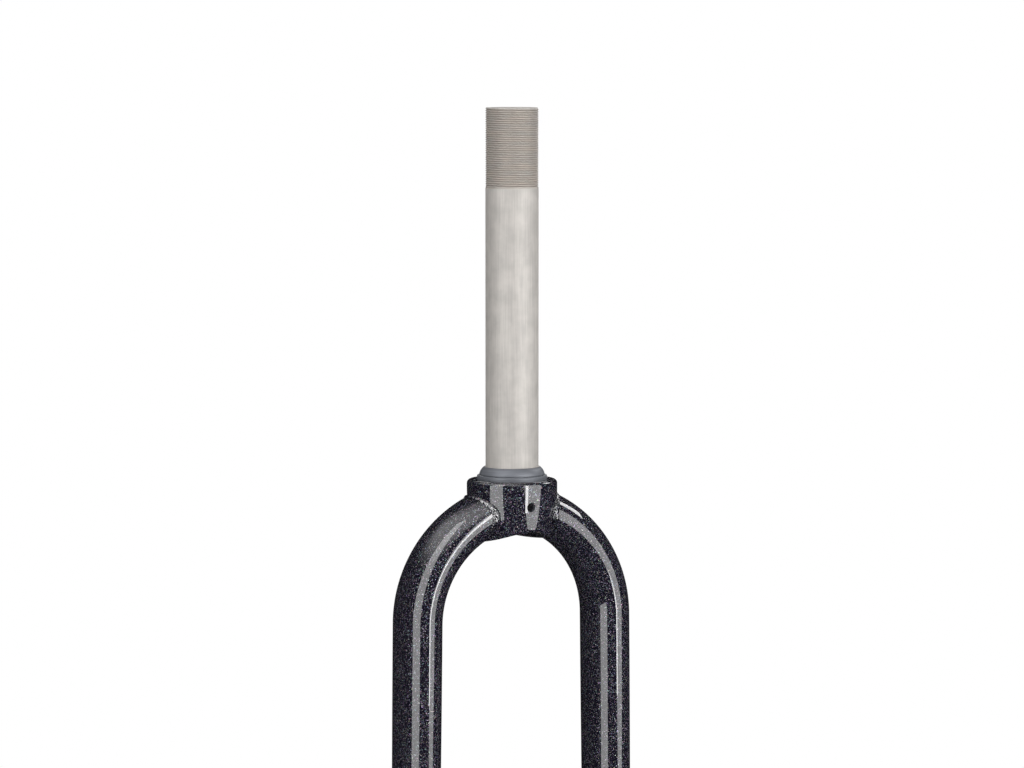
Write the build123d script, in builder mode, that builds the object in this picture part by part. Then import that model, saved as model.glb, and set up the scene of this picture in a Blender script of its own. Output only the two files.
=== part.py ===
import math
import os

from build123d import *

# Rigid bicycle fork, in millimetres. The steerer stands along +Z, the front of the fork is -Y and
# the origin is on the steerer's axis, on top of the crown where the bearing race is seated.

# Steerer: a one inch tube, threaded at its top and bored for a quill stem
steerer_d = 25.4
steerer_wall = 1.6
steerer_height = 177.8
steerer_foot_drop = 22.2
steerer_lip = 0.9

# Crown race: a flange, a narrow groove above it and the rounded shoulder that the lower bearing sits
# on, pressed onto the thicker foot of the steerer
race_seat_d = 26.4
race_height = 6.0
race_flange_d = 33.6
race_flange_height = 2.0
race_groove_height = 0.4
race_groove_d = 30.4
race_shoulder_d = 31.4
race_shoulder_radius = 5.6
race_top_wall = 0.2

# Crown sleeve: a thick ring round the foot of the steerer. Its underside is hollowed by an arch over the
# tyre and falls towards the back, as the tyre does.
sleeve_d = 43.4
sleeve_round = 2.0
sleeve_height = 29.8
arch_drop = 26.3
arch_radius = 36.0
underside_tilt = 6.1

# Bolt hole through the front of the sleeve and the steerer behind it, tapped M5
bolt_hole_d = 4.2
bolt_hole_rim = 0.5
bolt_hole_drop = 11.9

# Legs: tubes pressed to an oval, bent inwards at the top and coped onto the sleeve. The bore follows the
# bend by an angle that stops just short of the sleeve, so that the tube's end is closed.
leg_gap = 77.8
leg_width = 21.9
leg_depth = 31.2
leg_wall = 1.8
leg_join_drop = 19.7
bend_radius = 55.4
bend_bore_angle = 52.0

# Lower legs: tapered to a round tip and swept forwards to the wheel axle
axle_drop = 388.0
rake = 45.0
rake_angle = 20.0
tip_d = 19.0
tip_straight = 33.0

# Weld beads sunk in the corner between a leg and the sleeve, from under the front round to under the back
weld_radius = 3.0
weld_sink = 1.3
weld_angle = 300.0
weld_points = 21

# Dropouts: plates on plugged domes, with an open axle slot and a tapped eyelet behind it
hub_width = 100.0
dropout_thick = 6.0
dropout_reach = 28.0
dropout_radius = 13.5
axle_slot_d = 10.0
plug_length = 12.0
eyelet_hole_d = 4.2
eyelet_radius = 6.5
eyelet_back = 12.5
eyelet_up = 13.0

# Sizes that follow from the ones above
steerer_r = steerer_d / 2
seat_r = race_seat_d / 2
sleeve_r = sleeve_d / 2
leg_x = (leg_gap + leg_width) / 2
bend_centre_x = bend_radius - leg_x
bend_drop = leg_join_drop + math.sqrt(bend_radius**2 - (bend_centre_x + sleeve_r) ** 2)
bend_turn = math.degrees(math.acos(bend_centre_x / bend_radius))
tip_x = (hub_width + dropout_thick) / 2
rake_rad = math.radians(rake_angle)
rake_tail = tip_straight + dropout_reach
rake_radius = (rake - rake_tail * math.sin(rake_rad)) / (1 - math.cos(rake_rad))
rake_arc = rake_radius * rake_rad
leg_straight = (
    axle_drop - bend_drop - rake_radius * math.sin(rake_rad) - rake_tail * math.cos(rake_rad)
)
leg_run = leg_straight + rake_arc + tip_straight


# The section plane of the left leg at a distance down its centre line from the foot of the bend
def leg_plane(run):
    turned = min(max(run - leg_straight, 0), rake_arc)
    tail = max(run - leg_straight - rake_arc, 0)
    angle = turned / rake_radius
    forward = rake_radius * (1 - math.cos(angle)) + tail * math.sin(angle)
    down = min(run, leg_straight) + rake_radius * math.sin(angle) + tail * math.cos(angle)
    out = leg_x + (tip_x - leg_x) * run / leg_run
    up_the_leg = (0, math.sin(angle), math.cos(angle))
    return Plane(origin=(-out, -forward, -bend_drop - down), x_dir=(1, 0, 0), z_dir=up_the_leg)


# The section's half width and half depth there, oval at the top and round at the tip
def leg_radii(run, inset):
    taper = (run / leg_run) ** 2
    half_width = (leg_width + (tip_d - leg_width) * taper) / 2
    half_depth = (leg_depth + (tip_d - leg_depth) * taper) / 2
    return half_width - inset, half_depth - inset


# A point on the bead's centre line, just inside the saddle where the oval bend meets the sleeve, at an
# angle round the oval from its outer side
def bead_point(angle):
    from_axis = bend_radius + (leg_width / 2 - weld_sink) * math.cos(angle)
    y = (leg_depth / 2 - weld_sink) * math.sin(angle)
    x = -math.sqrt((sleeve_r - weld_sink) ** 2 - y**2)
    along = bend_centre_x - x
    return x, y, -bend_drop + math.sqrt(from_axis**2 - along**2)


bead_step = math.radians(weld_angle) / (weld_points - 1)
bead_angles = [bead_step * (count - (weld_points - 1) / 2) for count in range(weld_points)]

leg_runs = [
    0,
    leg_straight / 2,
    leg_straight,
    leg_straight + rake_arc / 3,
    leg_straight + rake_arc * 2 / 3,
    leg_straight + rake_arc,
    leg_run,
]
tip_plane = leg_plane(leg_run)

os.makedirs("parts", exist_ok=True)

# Steerer tube, from just above the arch to the threaded end, with the race's seat round its foot
with BuildPart() as steerer_tube:
    with BuildSketch(Plane.XY.offset(-steerer_foot_drop)):
        Circle(steerer_r)
        Circle(steerer_r - steerer_wall, mode=Mode.SUBTRACT)
    extrude(amount=steerer_foot_drop + steerer_height)
    top_rims = steerer_tube.edges().group_by(Axis.Z)[-1]
    chamfer(top_rims.sort_by(SortBy.LENGTH)[-1:], steerer_lip)
    with BuildSketch(Plane.XY.offset(-steerer_foot_drop)):
        Circle(seat_r)
        Circle(steerer_r, mode=Mode.SUBTRACT)
    extrude(amount=steerer_foot_drop + race_height)
    with BuildSketch(Plane.XZ):
        with Locations((0, -bolt_hole_drop)):
            Circle(bolt_hole_d / 2)
    extrude(amount=sleeve_r, mode=Mode.SUBTRACT)
steerer_tube.part.label = "steerer_tube"
export_step(steerer_tube.part, "parts/steerer_tube.step")

# Crown race, turned about the steerer's axis
groove_top = race_flange_height + race_groove_height
shoulder_foot = (race_shoulder_d / 2, groove_top)
shoulder_top = (seat_r + race_top_wall, race_height)
with BuildPart() as crown_race:
    with BuildSketch(Plane.XZ):
        with BuildLine():
            Polyline(
                shoulder_top,
                (seat_r, race_height),
                (seat_r, 0),
                (race_flange_d / 2, 0),
                (race_flange_d / 2, race_flange_height),
                (race_groove_d / 2, race_flange_height),
                (race_groove_d / 2, groove_top),
                shoulder_foot,
            )
            RadiusArc(shoulder_foot, shoulder_top, -race_shoulder_radius)
        make_face()
    revolve(axis=Axis.Z)
crown_race.part.label = "crown_race"
export_step(crown_race.part, "parts/crown_race.step")

# Crown sleeve with its rounded top edge, arched underside and bolt hole
tilt_rad = math.radians(underside_tilt)
underside = Plane(origin=(0, 0, 0), x_dir=(1, 0, 0), z_dir=(0, -math.cos(tilt_rad), math.sin(tilt_rad)))
with BuildPart() as crown_sleeve:
    with BuildSketch():
        Circle(sleeve_r)
        Circle(seat_r, mode=Mode.SUBTRACT)
    extrude(amount=-sleeve_d)
    top_rims = crown_sleeve.edges().group_by(Axis.Z)[-1]
    fillet(top_rims.sort_by(SortBy.LENGTH)[-1:], sleeve_round)
    with BuildSketch(underside):
        with Locations((0, -sleeve_height - sleeve_d / 2)):
            Rectangle(2 * sleeve_d, sleeve_d)
        with Locations((0, -arch_drop - arch_radius)):
            Circle(arch_radius)
    extrude(amount=sleeve_d, both=True, mode=Mode.SUBTRACT)
    with BuildSketch(Plane.XZ):
        with Locations((0, -bolt_hole_drop)):
            Circle(bolt_hole_d / 2)
    extrude(amount=sleeve_d, mode=Mode.SUBTRACT)
    with BuildSketch(Plane.XZ.offset(sleeve_r - bolt_hole_rim)):
        with Locations((0, -bolt_hole_drop)):
            Circle(bolt_hole_d / 2)
    extrude(amount=sleeve_d, taper=-45, mode=Mode.SUBTRACT)
crown_sleeve.part.label = "crown_sleeve"
export_step(crown_sleeve.part, "parts/crown_sleeve.step")

# Left bend, still solid and running on to the middle of the fork, before it is coped
with BuildPart() as left_bend:
    with BuildSketch(Plane.XY.offset(-bend_drop)):
        with Locations((-leg_x, 0)):
            Ellipse(leg_width / 2, leg_depth / 2)
    revolve(axis=Axis((bend_centre_x, 0, -bend_drop), (0, 1, 0)), revolution_arc=bend_turn)

# Left leg: the bend and the tapered lower leg, hollowed, then coped to fit round the sleeve
with BuildPart() as left_leg:
    for run in leg_runs:
        with BuildSketch(leg_plane(run)):
            Ellipse(*leg_radii(run, 0))
    loft()
    add(left_bend.part)
    for run in leg_runs:
        with BuildSketch(leg_plane(run)):
            Ellipse(*leg_radii(run, leg_wall))
    loft(mode=Mode.SUBTRACT)
    with BuildSketch(Plane.XY.offset(-bend_drop)):
        with Locations((-leg_x, 0)):
            Ellipse(*leg_radii(0, leg_wall))
    revolve(
        axis=Axis((bend_centre_x, 0, -bend_drop), (0, 1, 0)),
        revolution_arc=bend_bore_angle,
        mode=Mode.SUBTRACT,
    )
    with BuildSketch(Plane.XY.offset(-bend_drop)):
        Circle(sleeve_r)
    extrude(amount=bend_drop + steerer_height, mode=Mode.SUBTRACT)
left_leg.part.label = "left_leg"
export_step(left_leg.part, "parts/left_leg.step")

with BuildPart() as right_leg:
    mirror(left_leg.part, about=Plane.YZ)
right_leg.part.label = "right_leg"
export_step(right_leg.part, "parts/right_leg.step")

# Left weld: a round bead along the saddle, with the sleeve and the bend taken away, open under the arch
with BuildPart() as left_weld:
    with BuildLine() as bead_route:
        Spline(*[bead_point(angle) for angle in bead_angles])
    with BuildSketch(Plane(origin=bead_route.line @ 0, z_dir=bead_route.line % 0)):
        Circle(weld_radius)
    sweep(path=bead_route.line)
    with BuildSketch(Plane.XY.offset(-bend_drop)):
        Circle(sleeve_r)
    extrude(amount=bend_drop + steerer_height, mode=Mode.SUBTRACT)
    add(left_bend.part, mode=Mode.SUBTRACT)
left_weld.part.label = "left_weld"
export_step(left_weld.part, "parts/left_weld.step")

with BuildPart() as right_weld:
    mirror(left_weld.part, about=Plane.YZ)
right_weld.part.label = "right_weld"
export_step(right_weld.part, "parts/right_weld.step")

# Left dropout: a plate in the plane of the leg, on a dome that plugs the leg's tip
axle_origin = tip_plane.origin - tip_plane.z_dir * dropout_reach
plate_plane = Plane(origin=axle_origin, x_dir=-tip_plane.y_dir, z_dir=(-1, 0, 0))
with BuildPart() as left_dropout:
    with BuildSketch(plate_plane):
        Circle(dropout_radius)
        with Locations((0, dropout_reach / 2)):
            Rectangle(tip_d, dropout_reach)
        with Locations((-eyelet_back, eyelet_up)):
            Circle(eyelet_radius)
        make_hull()
        with Locations((0, -dropout_radius)):
            Rectangle(axle_slot_d, 2 * dropout_radius, mode=Mode.SUBTRACT)
        Circle(axle_slot_d / 2, mode=Mode.SUBTRACT)
        with Locations((-eyelet_back, eyelet_up)):
            Circle(eyelet_hole_d / 2, mode=Mode.SUBTRACT)
    extrude(amount=dropout_thick / 2, both=True)
    with BuildSketch(tip_plane):
        Circle(tip_d / 2 - leg_wall)
    extrude(amount=plug_length)
    with Locations(tip_plane):
        Sphere(tip_d / 2, arc_size1=-90, arc_size2=0, align=Align.NONE)
left_dropout.part.label = "left_dropout"
export_step(left_dropout.part, "parts/left_dropout.step")

with BuildPart() as right_dropout:
    mirror(left_dropout.part, about=Plane.YZ)
right_dropout.part.label = "right_dropout"
export_step(right_dropout.part, "parts/right_dropout.step")
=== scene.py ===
import math
import random

import bpy
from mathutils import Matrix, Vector


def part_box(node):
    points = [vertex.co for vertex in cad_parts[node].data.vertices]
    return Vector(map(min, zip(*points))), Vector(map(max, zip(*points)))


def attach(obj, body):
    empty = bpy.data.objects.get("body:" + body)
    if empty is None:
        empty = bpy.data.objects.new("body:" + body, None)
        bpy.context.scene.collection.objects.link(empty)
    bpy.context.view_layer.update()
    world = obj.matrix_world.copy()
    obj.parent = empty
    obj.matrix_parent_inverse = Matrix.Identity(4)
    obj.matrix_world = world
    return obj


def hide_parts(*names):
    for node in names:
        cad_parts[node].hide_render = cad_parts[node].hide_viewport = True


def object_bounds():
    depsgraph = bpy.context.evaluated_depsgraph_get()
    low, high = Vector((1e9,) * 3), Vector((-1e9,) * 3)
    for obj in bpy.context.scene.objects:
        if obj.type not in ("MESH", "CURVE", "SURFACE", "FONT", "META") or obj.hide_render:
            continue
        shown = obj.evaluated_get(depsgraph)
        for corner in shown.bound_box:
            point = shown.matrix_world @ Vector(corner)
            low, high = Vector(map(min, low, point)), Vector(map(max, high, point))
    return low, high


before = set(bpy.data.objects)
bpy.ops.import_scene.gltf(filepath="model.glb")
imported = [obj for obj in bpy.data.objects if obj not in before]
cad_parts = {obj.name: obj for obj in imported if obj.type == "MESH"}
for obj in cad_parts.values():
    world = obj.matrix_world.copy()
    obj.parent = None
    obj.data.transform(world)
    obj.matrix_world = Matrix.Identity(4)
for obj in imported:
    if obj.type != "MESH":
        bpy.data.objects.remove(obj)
cadLow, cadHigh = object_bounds()
print("frame loaded:", sorted(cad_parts))

mm = 0.001
tolerance = {"lathe": 0.002, "cut": 0.005, "flatDegrees": 0.5}  # lengths in millimetres
scene = bpy.context.scene
scene.view_settings.view_transform = "Standard"


# Helpers for edit mode

def startFresh():
    if bpy.context.object and bpy.context.object.mode != "OBJECT":
        bpy.ops.object.mode_set(mode="OBJECT")
    bpy.ops.object.select_all(action="DESELECT")


def makeActive(piece):
    startFresh()
    piece.select_set(True)
    bpy.context.view_layer.objects.active = piece


def editAll(piece):
    makeActive(piece)
    bpy.ops.object.mode_set(mode="EDIT")
    bpy.ops.mesh.select_all(action="SELECT")


def turnFacesOut():
    bpy.ops.mesh.select_all(action="SELECT")
    bpy.ops.mesh.normals_make_consistent(inside=False)
    bpy.ops.object.mode_set(mode="OBJECT")


def applyModifier(piece, name, kind, **settings):
    makeActive(piece)
    modifier = piece.modifiers.new(name, kind)
    for key, value in settings.items():
        setattr(modifier, key, value)
    bpy.ops.object.modifier_apply(modifier=modifier.name)


def smoothByAngle(piece, degrees):
    makeActive(piece)
    bpy.ops.object.shade_smooth_by_angle(angle=math.radians(degrees))


# Cuts one shape out of a piece, and clears the slivers that the cut leaves
def cutAway(piece, cutter):
    applyModifier(piece, "cut", "BOOLEAN", operation="DIFFERENCE", object=cutter, solver="EXACT")
    bpy.data.objects.remove(cutter)
    editAll(piece)
    bpy.ops.mesh.remove_doubles(threshold=tolerance["cut"] * mm)
    bpy.ops.mesh.dissolve_degenerate(threshold=tolerance["cut"] * mm)
    bpy.ops.object.mode_set(mode="OBJECT")


# A turned piece: a profile of (radius, height) points in millimetres, spun about the steerer's axis
def turnOnLathe(name, profile, steps):
    startFresh()
    bpy.ops.mesh.primitive_plane_add(size=mm, location=(0, 0, 0))
    piece = bpy.context.object
    piece.name = name
    editAll(piece)
    bpy.ops.mesh.merge(type="CENTER")
    here = profile[0]
    bpy.ops.transform.translate(value=(here[0] * mm, 0, here[1] * mm))
    for point in profile[1:]:
        move = ((point[0] - here[0]) * mm, 0, (point[1] - here[1]) * mm)
        bpy.ops.mesh.extrude_vertices_move(TRANSFORM_OT_translate={"value": move})
        here = point
    bpy.ops.mesh.select_all(action="SELECT")
    bpy.ops.mesh.spin(steps=steps, angle=math.tau, center=(0, 0, 0), axis=(0, 0, 1))
    bpy.ops.mesh.select_all(action="SELECT")
    bpy.ops.mesh.remove_doubles(threshold=tolerance["lathe"] * mm)
    turnFacesOut()
    return piece


# A tube bridged through rings and closed at both ends: each ring is a circle, placed, turned and stretched
def bridgeRings(name, rings, sides):
    startFresh()
    bpy.ops.mesh.primitive_circle_add(vertices=sides, radius=mm, location=(0, 0, 0))
    piece = bpy.context.object
    piece.name = name
    editAll(piece)
    bpy.ops.mesh.delete(type="VERT")
    for count, ring in enumerate(rings):
        lastOrFirst = count in (0, len(rings) - 1)
        bpy.ops.mesh.primitive_circle_add(
            vertices=sides,
            radius=ring["radius"],
            fill_type="NGON" if lastOrFirst else "NOTHING",
            location=ring["centre"],
            rotation=ring["turn"],
        )
        bpy.ops.transform.resize(value=ring["stretch"], center_override=ring["centre"])
    bpy.ops.mesh.select_all(action="SELECT")
    bpy.ops.mesh.select_mode(type="EDGE")
    bpy.ops.mesh.bridge_edge_loops()
    bpy.ops.mesh.select_mode(type="VERT")
    turnFacesOut()
    return piece


# Moves points by a share of a full step, which shareOf gives from each point's place in millimetres
def pushPoints(piece, direction, fullStep, shareOf):
    group = piece.vertex_groups.new(name="push")
    for vertex in piece.data.vertices:
        share = shareOf(*(vertex.co / mm))
        if share > 0:
            group.add([vertex.index], share, "REPLACE")
    applyModifier(
        piece,
        "push",
        "DISPLACE",
        direction=direction,
        strength=fullStep,
        mid_level=0.0,
        vertex_group="push",
    )
    piece.vertex_groups.clear()


def mirrorCopy(piece, name):
    makeActive(piece)
    bpy.ops.object.duplicate()
    twin = bpy.context.object
    twin.name = name
    bpy.ops.transform.mirror(constraint_axis=(True, False, False), center_override=(0, 0, 0))
    bpy.ops.object.transform_apply(location=True, rotation=True, scale=True)
    editAll(twin)
    turnFacesOut()
    return twin


def arcPoints(centre, radius, fromDegrees, toDegrees, count):
    points = []
    for step in range(count + 1):
        angle = math.radians(fromDegrees + (toDegrees - fromDegrees) * step / count)
        points.append((centre[0] + radius * math.cos(angle), centre[1] + radius * math.sin(angle)))
    return points


def finishPiece(piece, material, node):
    piece.data.materials.clear()
    piece.data.materials.append(material)
    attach(piece, "root")
    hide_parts(node)


# Materials

def linear(hexColour):
    channels = [int(hexColour[i:i + 2], 16) / 255 for i in (1, 3, 5)]
    straight = [c / 12.92 if c <= 0.04045 else ((c + 0.055) / 1.055) ** 2.4 for c in channels]
    return (*straight, 1.0)


def addNode(tree, kind, settings=None, inputs=None):
    node = tree.nodes.new(kind)
    for key, value in (settings or {}).items():
        setattr(node, key, value)
    for key, value in (inputs or {}).items():
        if isinstance(value, bpy.types.NodeSocket):
            tree.links.new(value, node.inputs[key])
        else:
            node.inputs[key].default_value = value
    return node


def newMaterial(name):
    material = bpy.data.materials.new(name)
    material.use_nodes = True
    tree = material.node_tree
    tree.nodes.clear()
    shader = addNode(tree, "ShaderNodeBsdfPrincipled")
    addNode(tree, "ShaderNodeOutputMaterial", inputs={"Surface": shader.outputs["BSDF"]})
    place = addNode(tree, "ShaderNodeTexCoord").outputs["Object"]
    return material, tree, shader, place


def perMetre(sizeInMm):
    return 1.0 / (sizeInMm * mm)


def setMetal(tree, shader, colour, look):
    tree.links.new(colour, shader.inputs["Base Color"])
    shader.inputs["Metallic"].default_value = look["metallic"]
    shader.inputs["Roughness"].default_value = look["roughness"]


brushedSteelLook = {
    "pale": "#bdb9b4",
    "wornAndShaded": "#aba7a3",
    "metallic": 0.3,
    "roughness": 0.6,
    "streakWidthMm": 0.7,
    "streakLengthMm": 20.0,
    "streakDetail": 4.0,
    "cloudMm": 7.0,
    "cloudDetail": 3.0,
    "wearFrom": 0.75,
    "wearTo": 1.25,
}


# Bare drawn steel, dull and brushed along the tube: a soft warm grey with faint streaks and clouds
def makeBrushedSteel():
    look = brushedSteelLook
    material, tree, shader, place = newMaterial("brushedSteel")
    across = perMetre(look["streakWidthMm"])
    along = perMetre(look["streakLengthMm"])
    stretched = addNode(
        tree, "ShaderNodeMapping", inputs={"Vector": place, "Scale": (across, across, along)}
    )
    streaks = addNode(
        tree,
        "ShaderNodeTexNoise",
        inputs={
            "Vector": stretched.outputs["Vector"],
            "Scale": 1.0,
            "Detail": look["streakDetail"],
        },
    )
    clouds = addNode(
        tree,
        "ShaderNodeTexNoise",
        inputs={
            "Vector": place,
            "Scale": perMetre(look["cloudMm"]),
            "Detail": look["cloudDetail"],
        },
    )
    both = addNode(
        tree,
        "ShaderNodeMath",
        {"operation": "ADD"},
        {0: streaks.outputs["Fac"], 1: clouds.outputs["Fac"]},
    )
    wear = addNode(
        tree,
        "ShaderNodeMapRange",
        inputs={
            "Value": both.outputs["Value"],
            "From Min": look["wearFrom"],
            "From Max": look["wearTo"],
        },
    )
    colour = addNode(
        tree,
        "ShaderNodeMix",
        {"data_type": "RGBA"},
        {"Factor": wear.outputs["Result"], "A": linear(look["wornAndShaded"]), "B": linear(look["pale"])},
    )
    setMetal(tree, shader, colour.outputs["Result"], look)
    return material


threadSteelLook = {
    "beige": "#b8b0a8",
    "grey": "#afaba7",
    "root": "#99918a",
    "rootRadiusMm": 12.2,
    "crestRadiusMm": 12.65,
    "metallic": 0.3,
    "roughness": 0.55,
    "patchHeightMm": 4.0,
    "patchWidthMm": 12.0,
    "patchDetail": 2.0,
    "stainFrom": 0.35,
    "stainTo": 0.65,
}


# Rolled thread with a film of dry oil, turning to beige in patches; the roots are painted darker than the
# crests, as painted shade in the grooves
def makeThreadSteel():
    look = threadSteelLook
    material, tree, shader, place = newMaterial("threadSteel")
    across = perMetre(look["patchWidthMm"])
    along = perMetre(look["patchHeightMm"])
    stretched = addNode(
        tree, "ShaderNodeMapping", inputs={"Vector": place, "Scale": (across, across, along)}
    )
    patches = addNode(
        tree,
        "ShaderNodeTexNoise",
        inputs={
            "Vector": stretched.outputs["Vector"],
            "Scale": 1.0,
            "Detail": look["patchDetail"],
        },
    )
    stain = addNode(
        tree,
        "ShaderNodeMapRange",
        inputs={
            "Value": patches.outputs["Fac"],
            "From Min": look["stainFrom"],
            "From Max": look["stainTo"],
        },
    )
    colour = addNode(
        tree,
        "ShaderNodeMix",
        {"data_type": "RGBA"},
        {"Factor": stain.outputs["Result"], "A": linear(look["grey"]), "B": linear(look["beige"])},
    )
    flat = addNode(
        tree, "ShaderNodeVectorMath", {"operation": "MULTIPLY"}, {0: place, 1: (1.0, 1.0, 0.0)}
    )
    radius = addNode(tree, "ShaderNodeVectorMath", {"operation": "LENGTH"}, {0: flat.outputs["Vector"]})
    # painted shade: the colour darkens from the crests down into the roots of the groove
    crest = addNode(
        tree,
        "ShaderNodeMapRange",
        inputs={
            "Value": radius.outputs["Value"],
            "From Min": look["rootRadiusMm"] * mm,
            "From Max": look["crestRadiusMm"] * mm,
        },
    )
    wornAndShaded = addNode(
        tree,
        "ShaderNodeMix",
        {"data_type": "RGBA"},
        {
            "Factor": crest.outputs["Result"],
            "A": linear(look["root"]),
            "B": colour.outputs["Result"],
        },
    )
    setMetal(tree, shader, wornAndShaded.outputs["Result"], look)
    return material


raceSteelLook = {
    "blueGrey": "#80838a",
    "dark": "#54575d",
    "metallic": 0.3,
    "roughness": 0.48,
    "turnedMm": 0.6,
    "arcMm": 30.0,
    "markDetail": 2.0,
}


# Hardened bearing steel, turned and phosphated: a dull blue-grey with faint lathe marks round it
def makeRaceSteel():
    look = raceSteelLook
    material, tree, shader, place = newMaterial("raceSteel")
    around = perMetre(look["arcMm"])
    along = perMetre(look["turnedMm"])
    stretched = addNode(
        tree, "ShaderNodeMapping", inputs={"Vector": place, "Scale": (around, around, along)}
    )
    marks = addNode(
        tree,
        "ShaderNodeTexNoise",
        inputs={
            "Vector": stretched.outputs["Vector"],
            "Scale": 1.0,
            "Detail": look["markDetail"],
        },
    )
    colour = addNode(
        tree,
        "ShaderNodeMix",
        {"data_type": "RGBA"},
        {"Factor": marks.outputs["Fac"], "A": linear(look["dark"]), "B": linear(look["blueGrey"])},
    )
    setMetal(tree, shader, colour.outputs["Result"], look)
    return material


flakePaintLook = {
    "black": "#100e1a",
    "silver": "#b0acbc",
    "roughness": 0.42,
    "flakeMm": 0.34,
    "rarity": 11.0,
    "flakeTilt": 0.5,
    "tint": 0.3,
    "coatRoughness": 0.02,
    "coatIor": 1.8,
}
weldPaintLook = {**flakePaintLook, "coatIor": 2.6}  # a glassier coat, so that the welds' ripples glint


# Metal-flake paint under a clear coat: a black ground with points of silver that catch the lamps one by
# one, and a hard gloss on top. Real flakes are near 0.2 mm; they are drawn coarser, so that they show.
def makeFlakePaint(name, look):
    material, tree, shader, place = newMaterial(name)
    flakes = addNode(
        tree,
        "ShaderNodeTexVoronoi",
        {"feature": "F1"},
        {"Vector": place, "Scale": perMetre(look["flakeMm"])},
    )
    middle = flakes.outputs["Position"]
    # two draws for each flake: its lean and its hue
    lean = addNode(
        tree, "ShaderNodeTexWhiteNoise", {"noise_dimensions": "4D"}, {"Vector": middle, "W": 1.0}
    )
    hue = addNode(
        tree, "ShaderNodeTexWhiteNoise", {"noise_dimensions": "4D"}, {"Vector": middle, "W": 2.0}
    )
    parts = addNode(tree, "ShaderNodeSeparateColor", inputs={"Color": flakes.outputs["Color"]})
    bright = addNode(
        tree,
        "ShaderNodeMath",
        {"operation": "POWER"},
        {0: parts.outputs["Red"], 1: look["rarity"]},
    )
    silver = addNode(
        tree,
        "ShaderNodeMix",
        {"data_type": "RGBA"},
        {"Factor": look["tint"], "A": linear(look["silver"]), "B": hue.outputs["Color"]},
    )
    colour = addNode(
        tree,
        "ShaderNodeMix",
        {"data_type": "RGBA"},
        {
            "Factor": bright.outputs["Value"],
            "A": linear(look["black"]),
            "B": silver.outputs["Result"],
        },
    )
    centred = addNode(
        tree,
        "ShaderNodeVectorMath",
        {"operation": "SUBTRACT"},
        {0: lean.outputs["Color"], 1: (0.5, 0.5, 0.5)},
    )
    tilted = addNode(
        tree,
        "ShaderNodeVectorMath",
        {"operation": "SCALE"},
        {0: centred.outputs["Vector"], "Scale": look["flakeTilt"]},
    )
    outward = addNode(tree, "ShaderNodeNewGeometry").outputs["Normal"]
    leaning = addNode(
        tree,
        "ShaderNodeVectorMath",
        {"operation": "ADD"},
        {0: outward, 1: tilted.outputs["Vector"]},
    )
    facing = addNode(
        tree, "ShaderNodeVectorMath", {"operation": "NORMALIZE"}, {0: leaning.outputs["Vector"]}
    )
    tree.links.new(colour.outputs["Result"], shader.inputs["Base Color"])
    tree.links.new(facing.outputs["Vector"], shader.inputs["Normal"])
    tree.links.new(bright.outputs["Value"], shader.inputs["Metallic"])
    shader.inputs["Roughness"].default_value = look["roughness"]
    shader.inputs["Specular IOR Level"].default_value = 0.0  # the ground's own gloss is under the coat
    shader.inputs["Coat Weight"].default_value = 1.0
    shader.inputs["Coat Roughness"].default_value = look["coatRoughness"]
    shader.inputs["Coat IOR"].default_value = look["coatIor"]
    return material


brushedSteel = makeBrushedSteel()
threadSteel = makeThreadSteel()
raceSteel = makeRaceSteel()
flakePaint = makeFlakePaint("metalFlakePaint", flakePaintLook)
weldPaint = makeFlakePaint("weldFlakePaint", weldPaintLook)
print("materials made")


boltHole = {"radius": 2.1, "rim": 0.5, "drop": 11.9, "bareMargin": 0.02, "sides": 48}


# Drills the bolt hole into the front of a piece with the given outer radius
def drillBoltHole(piece, outer):
    startFresh()
    bpy.ops.mesh.primitive_cylinder_add(
        vertices=boltHole["sides"],
        radius=boltHole["radius"] * mm,
        depth=outer * mm,
        location=(0, -outer * mm, -boltHole["drop"] * mm),
        rotation=(math.pi / 2, 0, 0),
    )
    cutAway(piece, bpy.context.object)


# Steerer tube with its thread

steererLow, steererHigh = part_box("steerer_tube")
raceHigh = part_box("crown_race")[1]
steerer = {
    "radius": 12.7,
    "wall": 1.6,
    "lip": 0.5,
    "boreLip": 0.3,
    "bottom": steererLow.z / mm,
    "top": steererHigh.z / mm,
    "seatRadius": steererHigh.x / mm,
    "seatTop": raceHigh.z / mm,
    "pitch": 25.4 / 24,
    "turns": 36,
    "threadDepth": 0.6,
    "crestShare": 0.2,
    "skin": 0.01,
    "boreMargin": 0.5,
    "stepsPerTurn": 8,
    "sides": 128,
    "smoothDegrees": 25,
}


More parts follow.
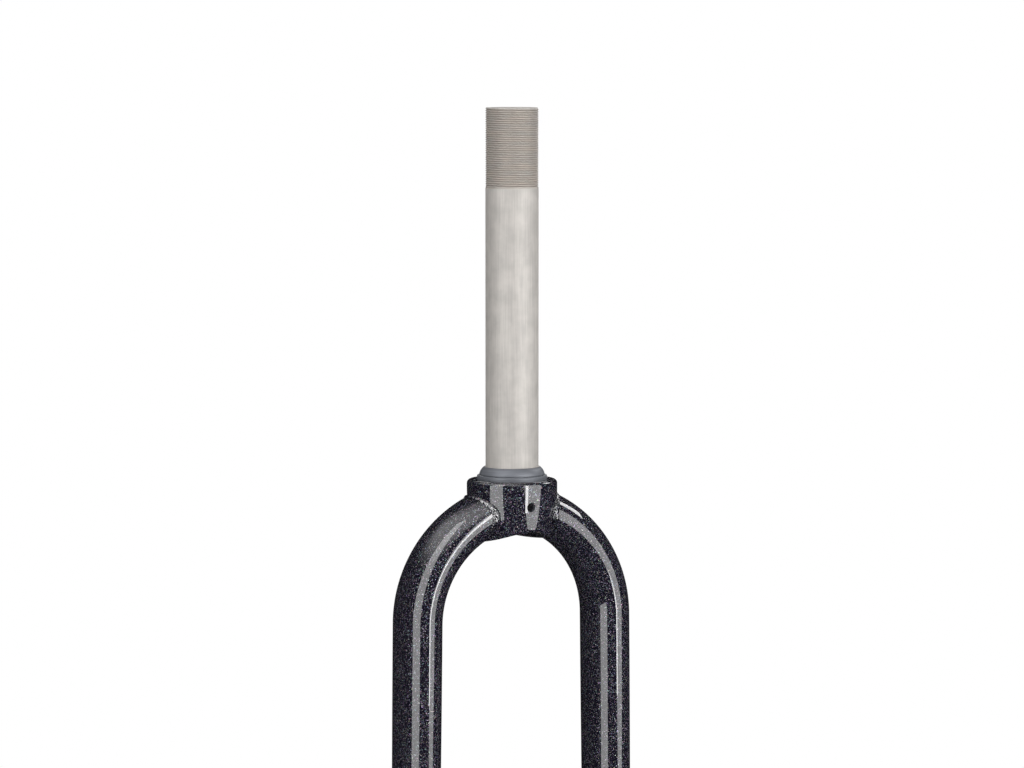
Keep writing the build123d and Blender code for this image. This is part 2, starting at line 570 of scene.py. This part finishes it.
def makeSteerer():
    size = steerer
    outer = size["radius"]
    bore = outer - size["wall"]
    threadTop = size["top"] - size["lip"]
    threadFoot = threadTop - size["pitch"] * size["turns"]
    rows = size["turns"] * size["stepsPerTurn"]
    profile = [
        (bore, size["bottom"]),
        (bore, size["top"] - size["boreLip"]),
        (bore + size["boreLip"], size["top"]),
        (outer - size["lip"], size["top"]),
    ]
    for row in range(rows + 1):
        profile.append((outer, threadTop - (threadTop - threadFoot) * row / rows))
    profile += [
        (outer, size["seatTop"]),
        (size["seatRadius"], size["seatTop"]),
        (size["seatRadius"], size["bottom"]),
        (bore, size["bottom"]),
    ]
    piece = turnOnLathe("steererTube", profile, size["sides"])

    # the groove winds one pitch down for each turn, and runs out over the last one
    def grooveShare(x, y, z):
        if math.hypot(x, y) < outer - size["skin"] or not threadFoot < z < threadTop:
            return 0.0
        phase = (z / size["pitch"] + math.atan2(y, x) / math.tau) % 1.0
        depth = 1.0 - abs(2.0 * phase - 1.0)
        runOut = min(1.0, (z - threadFoot) / size["pitch"])
        return max(0.0, depth - size["crestShare"]) / (1.0 - size["crestShare"]) * runOut

    pushPoints(piece, "NORMAL", -size["threadDepth"] * mm, grooveShare)
    drillBoltHole(piece, outer)
    smoothByAngle(piece, size["smoothDegrees"])
    finishPiece(piece, brushedSteel, "steerer_tube")
    piece.data.materials.append(threadSteel)
    for face in piece.data.polygons:
        inThread = threadFoot < face.center.z / mm < threadTop
        fromAxis = math.hypot(face.center.x, face.center.y) / mm
        if inThread and fromAxis > bore + size["boreMargin"]:
            face.material_index = 1
    return piece


steererTube = makeSteerer()
print("steerer made:", len(steererTube.data.polygons), "faces")


# Crown race

race = {
    "bore": steererHigh.x / mm,
    "height": raceHigh.z / mm,
    "flangeRadius": raceHigh.x / mm,
    "flangeHeight": 2.0,
    "flangeRound": 0.45,
    "grooveHeight": 0.4,
    "grooveRadius": 15.2,
    "shoulderRadius": 15.7,
    "shoulderCurve": 5.6,
    "topWall": 0.2,
    "roundSteps": 5,
    "bulgeSteps": 10,
    "sides": 160,
    "smoothDegrees": 35,
}


# Points along the arc of the given radius from foot to top, bulging outwards
def bulgePoints(foot, top, radius, count):
    middle = ((foot[0] + top[0]) / 2, (foot[1] + top[1]) / 2)
    chord = math.hypot(top[0] - foot[0], top[1] - foot[1])
    inward = math.sqrt(radius ** 2 - (chord / 2) ** 2)
    along = ((top[0] - foot[0]) / chord, (top[1] - foot[1]) / chord)
    centre = (middle[0] - along[1] * inward, middle[1] + along[0] * inward)
    fromDegrees = math.degrees(math.atan2(foot[1] - centre[1], foot[0] - centre[0]))
    toDegrees = math.degrees(math.atan2(top[1] - centre[1], top[0] - centre[0]))
    return arcPoints(centre, radius, fromDegrees, toDegrees, count)


def makeRace():
    size = race
    grooveTop = size["flangeHeight"] + size["grooveHeight"]
    rounding = size["flangeRound"]
    flangeCorner = (size["flangeRadius"] - rounding, size["flangeHeight"] - rounding)
    foot = (size["shoulderRadius"], grooveTop)
    top = (size["bore"] + size["topWall"], size["height"])
    profile = [(size["bore"], size["height"]), (size["bore"], 0.0), (size["flangeRadius"], 0.0)]
    profile += arcPoints(flangeCorner, rounding, 0, 90, size["roundSteps"])
    profile += [(size["grooveRadius"], size["flangeHeight"]), (size["grooveRadius"], grooveTop)]
    profile += bulgePoints(foot, top, size["shoulderCurve"], size["bulgeSteps"])
    profile.append(profile[0])
    piece = turnOnLathe("crownRace", profile, size["sides"])
    smoothByAngle(piece, size["smoothDegrees"])
    finishPiece(piece, raceSteel, "crown_race")
    return piece


crownRace = makeRace()
print("race made:", len(crownRace.data.polygons), "faces")


# Crown sleeve

sleeveLow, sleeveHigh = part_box("crown_sleeve")
sleeve = {
    "radius": sleeveHigh.x / mm,
    "bore": steererHigh.x / mm,
    "topRound": 2.0,
    "edgeRound": 1.8,
    "draw": 1.45,
    "drawFrom": 4.0,
    "sideDraw": 1.5,
    "sideFrom": 0.25,
    "sideTo": 0.7,
    "bottom": sleeveLow.z / mm,
    "archDrop": 26.3,
    "archRise": 3.5,
    "tiltDegrees": 6.1,
    "wallRows": 24,
    "undersideRows": 8,
    "topSteps": 10,
    "edgeSteps": 5,
    "sides": 256,
    "smoothDegrees": 30,
}


# Height of the underside: an arch over the tyre that falls towards the back, as the tyre does
def undersideHeight(x, y):
    size = sleeve
    swing = math.cos(math.pi * min(abs(x) / size["radius"], 1.0))
    fall = y * math.tan(math.radians(size["tiltDegrees"]))
    return -size["archDrop"] - size["archRise"] * (1 - swing) / 2 - fall


def makeSleeve():
    size = sleeve
    outer = size["radius"]
    top = size["topRound"]
    edge = size["edgeRound"]
    wallTop = -top
    wallFoot = size["bottom"] + edge
    footRadius = outer - size["draw"]

    def shareDown(z):
        return max(0.0, -z - size["drawFrom"]) / (-wallFoot - size["drawFrom"])

    profile = [(size["bore"], 0.0)]
    profile += arcPoints((outer - top, wallTop), top, 90, 0, size["topSteps"])
    for row in range(1, size["wallRows"]):
        z = wallTop + (wallFoot - wallTop) * row / size["wallRows"]
        profile.append((outer - size["draw"] * shareDown(z) ** 2, z))  # drawn in a little towards the foot
    profile += arcPoints((footRadius - edge, wallFoot), edge, 0, -90, size["edgeSteps"])
    floorWidth = footRadius - edge - size["bore"]
    for row in range(1, size["undersideRows"] + 1):
        profile.append((footRadius - edge - floorWidth * row / size["undersideRows"], size["bottom"]))
    profile.append(profile[0])
    piece = turnOnLathe("crownSleeve", profile, size["sides"])

    # the flat bottom is pushed up to the underside's height, and the wall follows in proportion
    fullLift = undersideHeight(0.0, -outer) - size["bottom"]

    def liftShare(x, y, z):
        lift = max(0.0, undersideHeight(x, y) - size["bottom"])
        return lift / fullLift * max(0.0, min(1.0, (wallTop - z) / (wallTop - size["bottom"])))

    pushPoints(piece, "Z", fullLift * mm, liftShare)

    # beside the legs the wall is drawn in further
    def sideShare(x, y, z):
        if math.hypot(x, y) < footRadius - edge:
            return 0.0
        aside = (abs(x) / outer - size["sideFrom"]) / (size["sideTo"] - size["sideFrom"])
        return min(1.0, shareDown(z)) ** 2 * min(1.0, max(0.0, aside))

    pushPoints(piece, "NORMAL", -size["sideDraw"] * mm, sideShare)
    drillBoltHole(piece, outer)

    # the hole's rim is countersunk
    startFresh()
    holeHeight = -boltHole["drop"] * mm
    bpy.ops.mesh.primitive_cone_add(
        vertices=boltHole["sides"],
        radius1=boltHole["radius"] * mm,
        radius2=(boltHole["radius"] + 2 * boltHole["rim"]) * mm,
        depth=2 * boltHole["rim"] * mm,
        location=(0, -outer * mm, holeHeight),
        rotation=(math.pi / 2, 0, 0),
    )
    cutAway(piece, bpy.context.object)
    smoothByAngle(piece, size["smoothDegrees"])
    finishPiece(piece, flakePaint, "crown_sleeve")
    piece.data.materials.append(raceSteel)
    for face in piece.data.polygons:
        fromHole = math.hypot(face.center.x, face.center.z - holeHeight) / mm
        if face.center.y < 0 and fromHole < boltHole["radius"] + boltHole["bareMargin"]:
            face.material_index = 1  # the hole is bare inside
    return piece


crownSleeve = makeSleeve()
print("sleeve made:", len(crownSleeve.data.polygons), "faces")


# Legs

leg = {
    "gap": 77.8,
    "width": 21.9,
    "depth": 31.2,
    "joinDrop": 19.7,
    "bendRadius": 55.4,
    "axleDrop": 388.0,
    "rake": 45.0,
    "rakeDegrees": 20.0,
    "tipDiameter": 19.0,
    "tipStraight": 33.0,
    "dropoutReach": 28.0,
    "tipX": 53.0,
    "bendRings": 40,
    "lowerRings": 60,
    "sides": 128,
    "copeInset": 3.3,
    "smoothDegrees": 40,
}
legX = (leg["gap"] + leg["width"]) / 2
bendX = leg["bendRadius"] - legX
bendRise = math.sqrt(leg["bendRadius"] ** 2 - (bendX + sleeve["radius"]) ** 2)
bendDrop = leg["joinDrop"] + bendRise
rakeAngle = math.radians(leg["rakeDegrees"])
rakeTail = leg["tipStraight"] + leg["dropoutReach"]
rakeRadius = (leg["rake"] - rakeTail * math.sin(rakeAngle)) / (1 - math.cos(rakeAngle))
rakeArc = rakeRadius * rakeAngle
straightRun = (
    leg["axleDrop"] - bendDrop - rakeRadius * math.sin(rakeAngle) - rakeTail * math.cos(rakeAngle)
)
wholeRun = straightRun + rakeArc + leg["tipStraight"]


# A ring of the bend, at an angle up from its foot
def bendRing(angle):
    centre = (
        (bendX - leg["bendRadius"] * math.cos(angle)) * mm,
        0.0,
        (leg["bendRadius"] * math.sin(angle) - bendDrop) * mm,
    )
    return {
        "centre": centre,
        "turn": (0.0, angle, 0.0),
        "radius": leg["width"] / 2 * mm,
        "stretch": (1.0, leg["depth"] / leg["width"], 1.0),
    }


# A ring of the lower leg, at a distance down from the foot of the bend
def lowerRing(run):
    angle = min(max(run - straightRun, 0.0), rakeArc) / rakeRadius
    tail = max(run - straightRun - rakeArc, 0.0)
    forward = rakeRadius * (1 - math.cos(angle)) + tail * math.sin(angle)
    down = min(run, straightRun) + rakeRadius * math.sin(angle) + tail * math.cos(angle)
    outward = legX + (leg["tipX"] - legX) * run / wholeRun
    taper = (run / wholeRun) ** 2
    width = leg["width"] + (leg["tipDiameter"] - leg["width"]) * taper
    depth = leg["depth"] + (leg["tipDiameter"] - leg["depth"]) * taper
    return {
        "centre": (-outward * mm, -forward * mm, (-bendDrop - down) * mm),
        "turn": (-angle, 0.0, 0.0),
        "radius": depth / 2 * mm,
        "stretch": (width / depth, 1.0, 1.0),
    }


def makeLeftLeg():
    size = leg
    bendEnd = math.acos(bendX / size["bendRadius"])
    rings = []
    for count in range(size["bendRings"]):
        rings.append(bendRing(bendEnd * (1 - count / size["bendRings"])))
    for count in range(size["lowerRings"] + 1):
        rings.append(lowerRing(wholeRun * count / size["lowerRings"]))
    piece = bridgeRings("leftLeg", rings, size["sides"])
    startFresh()
    bpy.ops.mesh.primitive_cylinder_add(
        vertices=sleeve["sides"],
        radius=(sleeve["radius"] - size["copeInset"]) * mm,
        depth=4 * bendDrop * mm,  # well past the bend at both ends
        location=(0, 0, 0),
    )
    cutAway(piece, bpy.context.object)
    smoothByAngle(piece, size["smoothDegrees"])
    return piece


leftLeg = makeLeftLeg()
rightLeg = mirrorCopy(leftLeg, "rightLeg")
smoothByAngle(rightLeg, leg["smoothDegrees"])
finishPiece(leftLeg, flakePaint, "left_leg")
finishPiece(rightLeg, flakePaint, "right_leg")
print("legs made:", len(leftLeg.data.polygons), "faces each")


# Weld beads

weld = {
    "radius": 2.1,
    "out": 0.5,
    "sink": 0.7,
    "topThin": 0.4,
    "sweepDegrees": 280.0,
    "fadeDegrees": 45.0,
    "endShare": 0.1,
    "ripples": 60,
    "rippleHeight": 0.05,
    "ringsPerRipple": 6,
    "sides": 96,
    "crinkleMm": 1.2,
    "crinkleHeight": 0.6,
    "lookAhead": 0.01,
    "smoothDegrees": 60,
    "seed": 7,
}


# A point of the saddle where the oval bend meets the sleeve, and the ways straight off the two walls there
def saddleAt(angle):
    fromAxis = leg["bendRadius"] + leg["width"] / 2 * math.cos(angle)
    y = leg["depth"] / 2 * math.sin(angle)
    x = -math.sqrt(sleeve["radius"] ** 2 - y ** 2)
    z = math.sqrt(fromAxis ** 2 - (bendX - x) ** 2) - bendDrop
    offSleeve = Vector((x, y, 0)).normalized()
    offBend = Vector((x - bendX, 0, z + bendDrop)).normalized() * math.cos(angle) / leg["width"]
    offBend.y = math.sin(angle) / leg["depth"]
    return Vector((x, y, z)), offSleeve, offBend.normalized()


# A rippled, crinkled bead round the leg's end, sunk in the corner, that thins out under the crown
def makeLeftWeld():
    size = weld
    draw = random.Random(size["seed"])
    halfSweep = math.radians(size["sweepDegrees"]) / 2
    ringCount = size["ripples"] * size["ringsPerRipple"]
    heights = [draw.uniform(-1, 1) for i in range(size["ripples"] + 1)]
    rings = []
    for count in range(ringCount + 1):
        angle = halfSweep * (2 * count / ringCount - 1)
        saddle, offSleeve, offBend = saddleAt(angle)
        alongLeg = (offSleeve - offBend * offBend.dot(offSleeve)).normalized()
        ahead = saddleAt(angle + size["lookAhead"])[0] - saddleAt(angle - size["lookAhead"])[0]
        ripple, within = divmod(count / size["ringsPerRipple"], 1.0)
        swell = 1.0 + size["rippleHeight"] * heights[int(ripple)] * math.sin(math.pi * within)
        fromEnd = (halfSweep - abs(angle)) / math.radians(size["fadeDegrees"])
        fade = min(1.0, size["endShare"] + fromEnd)
        thin = 1.0 - size["topThin"] * max(0.0, math.cos(angle))
        rings.append({
            "centre": (saddle + alongLeg * size["out"] - offBend * size["sink"]) * mm,
            "turn": ahead.to_track_quat("Z", "Y").to_euler(),
            "radius": size["radius"] * fade * thin * swell * mm,
            "stretch": (1.0, 1.0, 1.0),
        })
    piece = bridgeRings("leftWeld", rings, size["sides"])
    crinkle = bpy.data.textures.new("weldCrinkle", "CLOUDS")
    crinkle.noise_scale = size["crinkleMm"] * mm
    applyModifier(piece, "crinkle", "DISPLACE", texture=crinkle, strength=size["crinkleHeight"] * mm)
    smoothByAngle(piece, size["smoothDegrees"])
    return piece


leftWeld = makeLeftWeld()
rightWeld = mirrorCopy(leftWeld, "rightWeld")
smoothByAngle(rightWeld, weld["smoothDegrees"])
finishPiece(leftWeld, weldPaint, "left_weld")
finishPiece(rightWeld, weldPaint, "right_weld")
print("welds made:", len(leftWeld.data.polygons), "faces each")


# Dropouts, dressed from their solids with rounded edges

dropout = {"edgeRound": 0.6, "edgeDegrees": 35, "rounds": 3, "smoothDegrees": 35}


def makeDropout(name, node):
    size = dropout
    startFresh()
    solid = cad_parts[node]
    piece = solid.copy()
    piece.data = solid.data.copy()
    piece.parent = None
    for key in list(piece.keys()):
        del piece[key]
    piece.name = name
    scene.collection.objects.link(piece)
    editAll(piece)
    bpy.ops.mesh.remove_doubles(threshold=tolerance["cut"] * mm)
    bpy.ops.mesh.dissolve_limited(angle_limit=math.radians(tolerance["flatDegrees"]))
    bpy.ops.object.mode_set(mode="OBJECT")
    applyModifier(
        piece,
        "edges",
        "BEVEL",
        width=size["edgeRound"] * mm,
        segments=size["rounds"],
        limit_method="ANGLE",
        angle_limit=math.radians(size["edgeDegrees"]),
    )
    smoothByAngle(piece, size["smoothDegrees"])
    finishPiece(piece, flakePaint, node)
    return piece


leftDropout = makeDropout("leftDropout", "left_dropout")
rightDropout = makeDropout("rightDropout", "right_dropout")
print("dropouts made:", len(leftDropout.data.polygons), "faces each")


# The photograph's camera, which the studio's ceiling and lamps are set out from
camera = {
    "azimuth": -25.6,
    "distance": 2.0,
    "height": 0.210,
    "pitchDegrees": 4.7,
    "lens": 147.3,
    "sensor": 36.0,
}


# Stage: a pale floor that keeps the shadow near the fork and is plain white further off

stage = {
    "sides": 96,
    "white": "#ffffff",
    "floorRadius": 12.0,
    "shadowFrom": 0.3,
    "shadowTo": 0.75,
    "floorColour": "#f0f0f0",
    "wallRadius": 1.9,
    "wallHeight": 2.6,
    "wallGlow": (0.012, 1.3),
    "glowHeights": (-0.1, 1.3),
    "glowDepths": (-0.6, 0.8),
    "glowTurn": -40,
    "groundGap": 0.01,
    "roomLight": 0.3,
    "roomSeen": 1.0,
}


# 1 for what the camera sees, straight or in a mirror or glass, and 0 for what only lights other things
def seenDirectly(tree):
    path = addNode(tree, "ShaderNodeLightPath")
    first = addNode(
        tree,
        "ShaderNodeMath",
        {"operation": "MAXIMUM"},
        {0: path.outputs["Is Camera Ray"], 1: path.outputs["Is Glossy Ray"]},
    )
    return addNode(
        tree,
        "ShaderNodeMath",
        {"operation": "MAXIMUM"},
        {0: first.outputs["Value"], 1: path.outputs["Is Transmission Ray"]},
    ).outputs["Value"]


def makeFloor():
    size = stage
    startFresh()
    bpy.ops.mesh.primitive_circle_add(
        vertices=size["sides"], radius=size["floorRadius"], fill_type="NGON", location=(0, 0, cadLow.z)
    )
    floor = bpy.context.object
    floor.name = "floor"
    material = bpy.data.materials.new("paperFloor")
    material.use_nodes = True
    tree = material.node_tree
    tree.nodes.clear()
    place = addNode(tree, "ShaderNodeTexCoord").outputs["Object"]
    away = addNode(tree, "ShaderNodeVectorMath", {"operation": "LENGTH"}, {0: place})
    far = addNode(
        tree,
        "ShaderNodeMapRange",
        {"interpolation_type": "SMOOTHSTEP"},
        {
            "Value": away.outputs["Value"],
            "From Min": size["shadowFrom"],
            "From Max": size["shadowTo"],
        },
    )
    plain = addNode(
        tree,
        "ShaderNodeMath",
        {"operation": "MULTIPLY"},
        {0: far.outputs["Result"], 1: seenDirectly(tree)},
    )
    paper = addNode(tree, "ShaderNodeBsdfDiffuse", inputs={"Color": linear(size["floorColour"])})
    white = addNode(tree, "ShaderNodeEmission", inputs={"Color": linear(size["white"]), "Strength": 1.0})
    mixed = addNode(
        tree,
        "ShaderNodeMixShader",
        inputs={0: plain.outputs["Value"], 1: paper.outputs["BSDF"], 2: white.outputs["Emission"]},
    )
    addNode(tree, "ShaderNodeOutputMaterial", inputs={"Surface": mixed.outputs["Shader"]})
    floor.data.materials.append(material)
    floor.visible_glossy = False


# Dark walls and ground of the studio, seen only in reflections, glowing brighter high up towards the front
# left: a painted glow that stands in for a lit ceiling
def makeWalls():
    size = stage
    startFresh()
    bpy.ops.mesh.primitive_cylinder_add(
        vertices=size["sides"],
        radius=size["wallRadius"],
        depth=size["wallHeight"],
        location=(0, 0, cadLow.z + size["wallHeight"] / 2 - size["groundGap"]),
    )
    walls = bpy.context.object
    walls.name = "studioWalls"
    material = bpy.data.materials.new("studioWall")
    material.use_nodes = True
    tree = material.node_tree
    tree.nodes.clear()
    place = addNode(tree, "ShaderNodeTexCoord").outputs["Object"]
    parts = addNode(tree, "ShaderNodeSeparateXYZ", inputs={"Vector": place})
    glow = addNode(
        tree,
        "ShaderNodeMapRange",
        {"interpolation_type": "SMOOTHSTEP"},
        {
            "Value": parts.outputs["Z"],
            "From Min": size["glowHeights"][0],
            "From Max": size["glowHeights"][1],
        },
    )
    azimuth = math.radians(camera["azimuth"] + size["glowTurn"])
    nearness = addNode(
        tree,
        "ShaderNodeVectorMath",
        {"operation": "DOT_PRODUCT"},
        {0: place, 1: (math.sin(azimuth), -math.cos(azimuth), 0.0)},
    )
    front = addNode(
        tree,
        "ShaderNodeMapRange",
        {"interpolation_type": "SMOOTHSTEP"},
        {
            "Value": nearness.outputs["Value"],
            "From Min": size["glowDepths"][0],
            "From Max": size["glowDepths"][1],
        },
    )
    # painted light: the glow rises with height and towards the front left
    glowShare = addNode(
        tree,
        "ShaderNodeMath",
        {"operation": "MULTIPLY"},
        {0: glow.outputs["Result"], 1: front.outputs["Result"]},
    )
    strength = addNode(
        tree,
        "ShaderNodeMapRange",
        inputs={
            "Value": glowShare.outputs["Value"],
            "To Min": size["wallGlow"][0],
            "To Max": size["wallGlow"][1],
        },
    )
    # painted light: the walls glow by themselves rather than being lit, dark low down
    paintedGlow = addNode(
        tree,
        "ShaderNodeEmission",
        inputs={"Color": linear(size["white"]), "Strength": strength.outputs["Result"]},
    )
    addNode(tree, "ShaderNodeOutputMaterial", inputs={"Surface": paintedGlow.outputs["Emission"]})
    walls.data.materials.append(material)
    walls.visible_camera = False
    walls.visible_diffuse = False
    walls.visible_shadow = False


# A pale room: white where it is seen, and dimmer as a light
def makeWorld():
    size = stage
    world = bpy.data.worlds.new("paleRoom")
    scene.world = world
    world.use_nodes = True
    tree = world.node_tree
    tree.nodes.clear()
    strength = addNode(
        tree,
        "ShaderNodeMapRange",
        inputs={
            "Value": seenDirectly(tree),
            "To Min": size["roomLight"],
            "To Max": size["roomSeen"],
        },
    )
    background = addNode(
        tree,
        "ShaderNodeBackground",
        inputs={"Color": linear(size["white"]), "Strength": strength.outputs["Result"]},
    )
    addNode(tree, "ShaderNodeOutputWorld", inputs={"Surface": background.outputs["Background"]})


makeFloor()
makeWalls()
makeWorld()
print("stage made")


# Camera and lamps

def makeCamera():
    size = camera
    azimuth = math.radians(size["azimuth"])
    data = bpy.data.cameras.new("camera")
    data.lens = size["lens"]
    data.sensor_width = size["sensor"]
    eye = bpy.data.objects.new("camera", data)
    eye.location = (
        math.sin(azimuth) * size["distance"],
        -math.cos(azimuth) * size["distance"],
        size["height"],
    )
    eye.rotation_euler = (math.radians(90 - size["pitchDegrees"]), 0.0, azimuth)
    scene.collection.objects.link(eye)
    scene.camera = eye


# Each lamp stands at an azimuth from the camera's own, spans degrees across and heights in metres, and is
# an upright oval or a rectangle
lamps = {
    "softLeft": {
        "shape": "RECTANGLE",
        "across": (-57, -23),
        "heights": (-0.34, 1.8),
        "distance": 0.82,
        "radiance": 2.5,
    },
    "softRight": {
        "shape": "ELLIPSE",
        "across": (29, 81),
        "heights": (-0.42, 0.8),
        "distance": 0.9,
        "radiance": 2.5,
    },
    "stripRight": {
        "shape": "RECTANGLE",
        "across": (35, 41.7),
        "heights": (-0.25, 0.6),
        "distance": 0.87,
        "radiance": 7.0,
    },
    "softBack": {
        "shape": "RECTANGLE",
        "across": (168, 192),
        "heights": (0.45, 2.0),
        "distance": 1.0,
        "radiance": 3.0,
    },
    "sideRight": {
        "shape": "RECTANGLE",
        "across": (112, 134),
        "heights": (0.5, 0.95),
        "distance": 1.0,
        "radiance": 5.5,
    },
}


def makeLamp(name, size):
    middle = math.radians(camera["azimuth"] + sum(size["across"]) / 2)
    halfAcross = math.radians(size["across"][1] - size["across"][0]) / 2
    low, high = size["heights"]
    data = bpy.data.lights.new(name, "AREA")
    data.shape = size["shape"]
    data.size = 2 * size["distance"] * math.tan(halfAcross)
    data.size_y = high - low
    area = data.size * data.size_y * (math.pi / 4 if size["shape"] == "ELLIPSE" else 1.0)
    data.energy = size["radiance"] * math.pi * area
    lamp = bpy.data.objects.new(name, data)
    lamp.location = (
        math.sin(middle) * size["distance"],
        -math.cos(middle) * size["distance"],
        (high + low) / 2,
    )
    lamp.rotation_euler = (math.pi / 2, 0.0, middle)
    scene.collection.objects.link(lamp)


makeCamera()
for lampName, lampSize in lamps.items():
    makeLamp(lampName, lampSize)
print("camera and lamps made")
